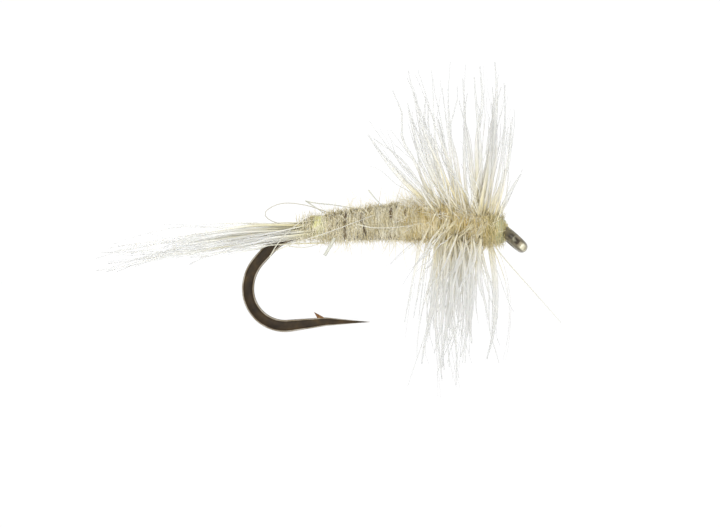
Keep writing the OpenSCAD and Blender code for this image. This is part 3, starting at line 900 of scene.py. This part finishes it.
# %% Brushes above the body
# root station, turn from straight up in degrees (+ to the near side), lean towards the eye in
# degrees, length, count, spread of the tips, bow along the shank
TOP_BRUSHES = [(-3.30, 5, -35, 3.9, 3, 0.30, -0.02), (-3.25, -25, -41, 3.4, 3, 0.35, 0.03),
               (-3.10, 20, -33, 2.9, 3, 0.40, 0.02), (-2.65, 8, -18, 4.6, 7, 0.24, -0.05),
               (-2.45, -14, -16, 5.0, 7, 0.24, -0.05), (-2.25, 14, -15, 5.3, 6, 0.22, -0.05),
               (-2.15, -30, -14, 5.1, 4, 0.28, -0.02), (-1.85, 4, -10, 5.0, 6, 0.24, -0.03),
               (-1.55, -16, -4, 5.8, 5, 0.24, -0.02), (-1.40, 10, -1, 5.7, 5, 0.22, -0.01),
               (-1.30, 0, 5, 5.8, 9, 0.17, 0.02), (-1.20, -10, 7, 5.1, 6, 0.22, 0.03),
               (-1.05, 16, 5, 5.0, 5, 0.22, 0.02), (-0.95, -6, 12, 4.5, 4, 0.18, 0.05),
               (-0.90, 28, 8, 4.7, 3, 0.25, 0.03), (-0.75, 10, 30, 2.4, 3, 0.25, 0.03)]


def spoke(x, turn, lean, length):
    """Root on the body and tip in the air of one spoke of the collar."""
    angle = math.radians(turn)
    root = round_body(np.array(float(x)), np.array(angle), -0.15)
    tilt = math.radians(lean)
    way = np.array([math.sin(tilt), -math.sin(angle) * math.cos(tilt),
                    math.cos(angle) * math.cos(tilt)])
    return root, root + way * (length + 0.15)


def top_brushes():
    made = []
    for x, turn, lean, length, count, spread, bow in TOP_BRUSHES:
        root, tip = spoke(x, turn, lean, length)
        made.append(bundle(root, tip, count, (0.24, 0.26, 0.06), spread, (bow, 0, 0),
                           short=0.3))
    return np.concatenate(made)


# %% Brushes below the body
def lower_brushes(count):
    """Small groups of barbs that hang from the underside, thickest in the middle."""
    made = []
    left = count
    while left > 0:
        group = int(min(left, rng.integers(2, 7)))
        left -= group
        x = rng.uniform(-3.05, -0.9)
        turn = 180 + rng.normal(0, 32)
        lean = -7 + 3.5 * (x + 3.05) + float(np.clip(rng.normal(0, 6.5), -10, 8))
        root, tip = spoke(x, turn, lean, rng.uniform(3.8, 6.2))
        made.append(bundle(root, tip, group, (0.2, 0.2, 0.06), 0.32,
                           (rng.normal(0, 0.045), 0, 0), short=0.32))
    return np.concatenate(made)


# %% Barbs that lie on the flanks first
def flank_brushes(count):
    """Barbs on both sides that follow the fur down and back before they hang free."""
    points = 10
    s = np.linspace(0, 1, points)
    made = []
    for i in range(count):
        side = 1 if i % 2 else -1
        x0 = rng.uniform(-2.9, -0.9)
        start, end = rng.uniform(20, 100), rng.uniform(125, 165)
        on_body = rng.uniform(0.22, 0.42)
        back = rng.uniform(0.2, 0.9)
        share = np.clip(s / on_body, 0, 1)
        angle = np.radians(start + (end - start) * share) * side
        x = x0 - back * share
        line = round_body(x, angle, 0.05 + 0.1 * share + 0.05 * rng.random())
        free = np.clip(s - on_body, 0, 1)[:, None]
        way = unit(np.array([-0.07 + rng.normal(0, 0.09), -0.35 * side * rng.random(), -1.0]))
        line = line + way * free * rng.uniform(3.6, 5.4)
        made.append(line)
    return np.array(made)


def side_spokes(count):
    """Spokes that stand out to the two sides and close the collar."""
    made = []
    for i in range(count):
        side = 1 if i % 2 else -1
        steep = rng.uniform(44, 62) if i % 4 < 2 else rng.uniform(116, 136)
        if side < 0 and i % 8 < 5:
            steep = rng.uniform(62, 116)
        root, tip = spoke(rng.uniform(-3.0, -0.9), side * steep, rng.normal(-16, 8),
                          rng.uniform(4.2, 5.2))
        made.append(bundle(root, tip, 2, (0.1, 0.1, 0.1), 0.2, (0.0, 0, 0.0), short=0.3))
    return np.concatenate(made)


# %% Put the hackle together
HACKLE_TONES = [(0.0, "f3e5b6"), (0.13, "f4ecce"), (0.3, "f1eee2"), (0.5, "e8e8e3"),
                (0.75, "dadad6"), (1.0, "d8d8d4")]
FLANK_TONES = [(0.0, "f4e6b6"), (0.3, "f5ebca"), (0.5, "f4f0de"), (0.75, "e8e8e3"),
               (1.0, "d6d6d2")]
hackle_finish = feather_barb("hackle_barb_keratin", HACKLE_TONES)
flank_finish = feather_barb("hackle_flank_keratin", FLANK_TONES)
spokes = np.concatenate([top_brushes(), lower_brushes(74)])
# the rear feather's barbs have their roots behind this station
FEATHERS_MEET = -2.0
rear = spokes[:, 0, 0] < FEATHERS_MEET
keep_barbs("hackle_barbs_rear", spokes[rear], 0.06, 0.21, hackle_finish, ["rear_hackle_barbs"],
           thickness=0.3)
keep_barbs("hackle_barbs_front", spokes[~rear], 0.06, 0.21, hackle_finish,
           ["front_hackle_barbs"], thickness=0.3)
keep_barbs("hackle_flank_barbs", flank_brushes(60), 0.05, 0.14, flank_finish)
keep_barbs("hackle_side_barbs", side_spokes(36), 0.03, 0.09, hackle_finish)


# %% [markdown]
# ## Thread and feather stems
# Thread and stems are wound, so each is one ring spun round the shank with a step forward at
# every turn. The winding's radius then follows the shape it is wound on.

# %% A winding
STEM_R = 0.06
THREAD_R = 0.034


def winding(x_from, x_to, turns, thick, shape, start=0.0):
    """A closed ring spun into a helix; shape gives middle height and radius at a station."""
    bm = bmesh.new()
    ring = ring_of(bm, 10, thick, (math.pi / 2, "X"))
    bmesh.ops.translate(bm, verts=ring, vec=(x_from, 0, 1.0))
    bmesh.ops.rotate(bm, verts=ring, cent=(0, 0, 0), matrix=Matrix.Rotation(start, 3, "X"))
    wind(bm, ring, x_to - x_from, turns, 36 * turns)
    for v in bm.verts:
        middle, radius = shape(v.co.x)
        local = math.hypot(v.co.y, v.co.z) - 1.0
        angle = math.atan2(-v.co.y, v.co.z)
        out = radius + local
        v.co = Vector((v.co.x, -out * math.sin(angle), middle + out * math.cos(angle)))
    return bm


def join(parts):
    """Add several bmesh windings into one."""
    whole = bmesh.new()
    for part in parts:
        mesh = bpy.data.meshes.new("winding")
        part.to_mesh(mesh)
        part.free()
        whole.from_mesh(mesh)
        bpy.data.meshes.remove(mesh)
    return whole


# %% Thread and stem finishes
def tying_thread(name, dark, middle, light):
    """Waxed nylon floss: fine parallel filaments with a soft gleam."""
    finish, tree, shader = new_finish(name, Roughness=0.45, Sheen_Weight=0.3,
                                      Coat_Weight=0.15, Coat_Roughness=0.3)
    where = add(tree, "ShaderNodeTexCoord").outputs["Object"]
    patches = add(tree, "ShaderNodeTexNoise", {"Vector": where, "Scale": 2800.0, "Detail": 3.0})
    tone = blend_of(tree, [(0.3, dark), (0.5, middle), (0.7, light)], patches.outputs["Fac"])
    tree.links.new(tone, shader.inputs["Base Color"])
    # filaments 0.012 mm across, seen as a fine bump
    floss = add(tree, "ShaderNodeTexNoise", {"Vector": where, "Scale": 60000.0, "Detail": 1.0})
    bump = add(tree, "ShaderNodeBump", {"Height": floss.outputs["Fac"], "Strength": 0.3,
                                        "Distance": 0.00001})
    tree.links.new(bump.outputs["Normal"], shader.inputs["Normal"])
    return finish


def quill(name):
    """A feather's stem: horn-coloured, smooth and a little glossy."""
    finish, tree, shader = new_finish(name, Roughness=0.35, Coat_Weight=0.2)
    where = add(tree, "ShaderNodeTexCoord").outputs["Object"]
    patches = add(tree, "ShaderNodeTexNoise", {"Vector": where, "Scale": 1800.0, "Detail": 2.0})
    tone = blend_of(tree, [(0.3, "bda56a"), (0.7, "e2d5ad")], patches.outputs["Fac"])
    tree.links.new(tone, shader.inputs["Base Color"])
    return finish


def thin_varnish(name):
    """Head cement: a skin of clear varnish, yellowed a little, clearer in some pools than in
    others.
    """
    finish, tree, shader = new_finish(name, Roughness=0.15, Coat_Weight=0.2)
    where = add(tree, "ShaderNodeTexCoord").outputs["Object"]
    pools = add(tree, "ShaderNodeTexNoise", {"Vector": where, "Scale": 1500.0, "Detail": 1.0})
    tone = blend_of(tree, [(0.3, "d9d2a2"), (0.7, "e8e4c4")], pools.outputs["Fac"])
    tree.links.new(tone, shader.inputs["Base Color"])
    clear = add(tree, "ShaderNodeMapRange", {"Value": pools.outputs["Fac"], "To Min": 0.03,
                                             "To Max": 0.16})
    tree.links.new(clear.outputs["Result"], shader.inputs["Alpha"])
    return finish


olive_thread = tying_thread("olive_waxed_thread", "8f8a56", "b7b07c", "cfc99c")
lime_thread = tying_thread("lime_waxed_thread", "b3b072", "c8c68c", "d9d8b0")
whip_thread = tying_thread("pale_green_waxed_thread", "999a72", "aeaf86", "c0c19c")
head_thread_finish = tying_thread("head_waxed_thread", "8f8149", "a79b66", "bbb082")


# %% Stems, head and tail windings
def on_body(extra):
    def shape(x):
        middle, radius = body_at(np.array(x))
        return float(middle), float(radius) + extra
    return shape


def head_shape(extra):
    rows = np.array([(HEAD_BACK - 0.2, 0.10, 0.50), (HEAD_BACK + 0.15, 0.08, 0.53),
                     (HEAD_BACK + 0.55, 0.05, 0.50), (HEAD_FRONT - 0.05, 0.02, 0.36),
                     (HEAD_FRONT + 0.1, 0.0, 0.27)])

    def shape(x):
        return (SHANK_Z + float(np.interp(x, rows[:, 0], rows[:, 1])),
                float(np.interp(x, rows[:, 0], rows[:, 2])) + extra)
    return shape


def bind_shape(x):
    share = (x - BEND_X) / (BIND_END - BEND_X)
    return SHANK_Z + 0.09 + 0.04 * share, 0.33 + 0.07 * share


def bind_lump(x):
    middle, radius = bind_shape(x)
    return middle + 0.05, radius + 0.03


for name, node in (("rear_stem", "rear_hackle_stem"), ("front_stem", "front_hackle_stem")):
    low, high = box_mm(node)
    stem = winding(low[0] + STEM_R, high[0] - STEM_R, 4, STEM_R, on_body(-0.02))
    keep_solid(stem, name, quill(name + "_quill"), [node])
head_layers = [
    winding(HEAD_BACK, HEAD_FRONT + 0.08, 15, THREAD_R, head_shape(-0.03)),
    winding(HEAD_FRONT + 0.06, HEAD_BACK + 0.05, 12, THREAD_R, head_shape(0.02), start=1.0),
    winding(HEAD_BACK + 0.1, HEAD_FRONT - 0.1, 6, THREAD_R, head_shape(0.05), start=2.0)]
keep_solid(join(head_layers), "head_windings", head_thread_finish, ["head_thread"])
low, high = box_mm("whip_finish")
whip = winding(low[0], high[0] + 0.1, 5, THREAD_R, head_shape(0.05), start=0.5)
keep_solid(whip, "whip_turns", whip_thread, ["whip_finish"])
bind_layers = [winding(BEND_X + 0.05, BIND_END + 0.1, 10, 0.036, bind_shape),
               winding(BEND_X + 0.18, BEND_X + 0.44, 4, 0.04, bind_lump, start=1.3)]
keep_solid(join(bind_layers), "tail_windings", lime_thread, ["tail_binding"])


# %% Varnish on the head
SKIN_BACK = HEAD_BACK + 0.25
SKIN_FRONT = HEAD_FRONT + 0.1
SKIN_STEPS = 10


def varnish_skin():
    """A skin a hair outside the head thread, closed at both ends where the wire runs in."""
    bm = bmesh.new()
    ring = ring_of(bm, 32, 1.0, (math.pi / 2, "Y"))
    bmesh.ops.translate(bm, verts=ring, vec=(SKIN_BACK, 0, 0))
    step = Vector(((SKIN_FRONT - SKIN_BACK) / SKIN_STEPS, 0, 0))
    rim = edges_of(ring)
    for _ in range(SKIN_STEPS):
        rim = rim_of(carry(bm, rim, step))
    shape = head_shape(0.095)
    for v in bm.verts:
        middle, radius = shape(v.co.x)
        v.co.y *= radius
        v.co.z = middle + v.co.z * radius
    bmesh.ops.holes_fill(bm, edges=open_edges(bm))
    return bm


keep_solid(varnish_skin(), "head_varnish", thin_varnish("head_cement_skin"), ["head_cement"])


# %% [markdown]
# ## Loose ends
# Hand-tied work has loose ends: a thread that stands off in a loop behind the body, two flat
# feather fibres on the back, a clipped tag under the body, and long hairs caught across the
# dubbing. Each is one line with its own width.

# %% Loose fibres
def through(spots, points):
    """A smooth line through a few spots."""
    spots = np.array(spots, dtype=float)
    for _ in range(3):
        quarter = spots[:-1] * 0.75 + spots[1:] * 0.25
        three = spots[:-1] * 0.25 + spots[1:] * 0.75
        cut = np.stack([quarter, three], axis=1).reshape(-1, 3)
        spots = np.concatenate([spots[:1], cut, spots[-1:]])
    far = np.concatenate([[0], np.cumsum(np.linalg.norm(np.diff(spots, axis=0), axis=1))])
    at = np.linspace(0, far[-1], points)
    return np.stack([np.interp(at, far, spots[:, i]) for i in range(3)], axis=-1)


LOOP = [(-7.2, -0.2, 1.05), (-7.9, -0.3, 1.30), (-8.9, -0.35, 1.42), (-9.6, -0.3, 1.05),
        (-9.45, -0.25, 0.75), (-8.9, -0.2, 0.55), (-8.5, -0.1, 0.5)]
ACROSS = [[(-9.35, -0.35, -0.70), (-9.0, -0.5, -0.1), (-8.5, -0.62, 0.40), (-7.8, -0.55, 0.92)],
          [(-9.1, -0.4, -0.45), (-8.4, -0.6, -0.15), (-7.5, -0.75, 0.1), (-6.4, -0.9, 0.5),
           (-5.4, -0.85, 0.88)],
          [(-8.6, -0.45, -0.28), (-8.0, -0.5, -0.36), (-7.5, -0.4, -0.2)],
          [(-6.0, -0.85, 0.55), (-5.4, -0.9, 0.40), (-4.6, -0.85, 0.42), (-4.0, -0.9, 0.5)]]
FLAT = [[(-8.0, 0.1, 1.47), (-7.6, 0.1, 1.38), (-6.9, 0.0, 1.32), (-6.2, 0.1, 1.2)],
        [(-7.95, 0.1, 1.45), (-7.6, 0.05, 1.22), (-7.3, 0.0, 1.02), (-7.0, 0.0, 0.8)],
        [(-5.56, -0.2, 1.88), (-5.35, -0.2, 1.6), (-5.1, -0.2, 1.35), (-5.0, -0.2, 1.2)]]
TAG = [(-6.85, -0.45, 0.05), (-7.0, -0.5, -0.25), (-7.24, -0.5, -0.64)]
# the one barb that slipped under the thread and points down past the eye
STRAY = [(-1.05, -0.3, 0.20), (-0.5, -0.35, -0.60), (0.7, -0.45, -1.95), (1.80, -0.5, -3.2)]


LINE_POINTS = 24


def one_line(name, spots, width, finish, nodes, slot, flat=1.0, tilt=0.0, tip=0.5):
    """Keep one fibre for each list of spots; tip is its end width as a share of its width."""
    lines = np.array([through(s, LINE_POINTS) for s in spots])
    widths = np.tile(width * np.linspace(1.0, tip, LINE_POINTS), (len(spots), 1))
    tilts = np.full(len(spots), tilt)
    keep_fibres(name, lines, widths, finish, nodes, slot, 6, flat, tilts)


loose_finish = feather_barb("loose_fibre_keratin", [(0.0, "d8d3bd"), (1.0, "cfccbf")],
                            "f0f0f0", "f0f0f0")
flat_finish = feather_barb("flat_fibre_keratin", [(0.0, "cfcfc0"), (1.0, "c3c4b9")],
                           "e4e4e4", "d8d8d8")
loop_finish = feather_barb("loose_thread_fibre", [(0.0, "a8a391"), (1.0, "b9b5a6")],
                           "f0f0f0", "f0f0f0")
one_line("loose_thread_loop", [LOOP], 0.036, loop_finish, ["loose_loop"], "cream_fur", tip=0.9)
one_line("fibres_across_body", ACROSS, 0.05, loose_finish, ["stray_fibres"], "cream_fur")
one_line("stray_hackle_barb", [STRAY], 0.06, loose_finish, (), "hackle_barb", tip=0.4)
one_line("flat_back_fibres", FLAT, 0.12, flat_finish, (), "hackle_barb", flat=0.5)
one_line("clipped_tag", [TAG], 0.13, flat_finish, ["tag_end"], "hackle_barb", flat=0.45,
         tilt=math.pi / 2, tip=1.0)


# %% [markdown]
# ## Under the fur
# The thread base, the feather butts and the wraps below the fur are the frame's own solids.
# They show only through gaps, so they keep their shapes and get the same thread, barb and quill
# finishes.

# %% Finishes for the frame's own solids
def dress(node, finish):
    thing = bpy.data.objects[node]
    if not thing.material_slots:
        thing.data.materials.append(finish)
    for place in thing.material_slots:
        place.material = finish


under_thread = tying_thread("underbody_thread", "6f6550", "8a7f66", "a59a7e")
dress("thread_base", olive_thread)
dress("underbody_wraps", under_thread)
dress("thorax_wraps", under_thread)
dress("tail_butts", tail_finish)
dress("hackle_butts", quill("hackle_butt_quill"))
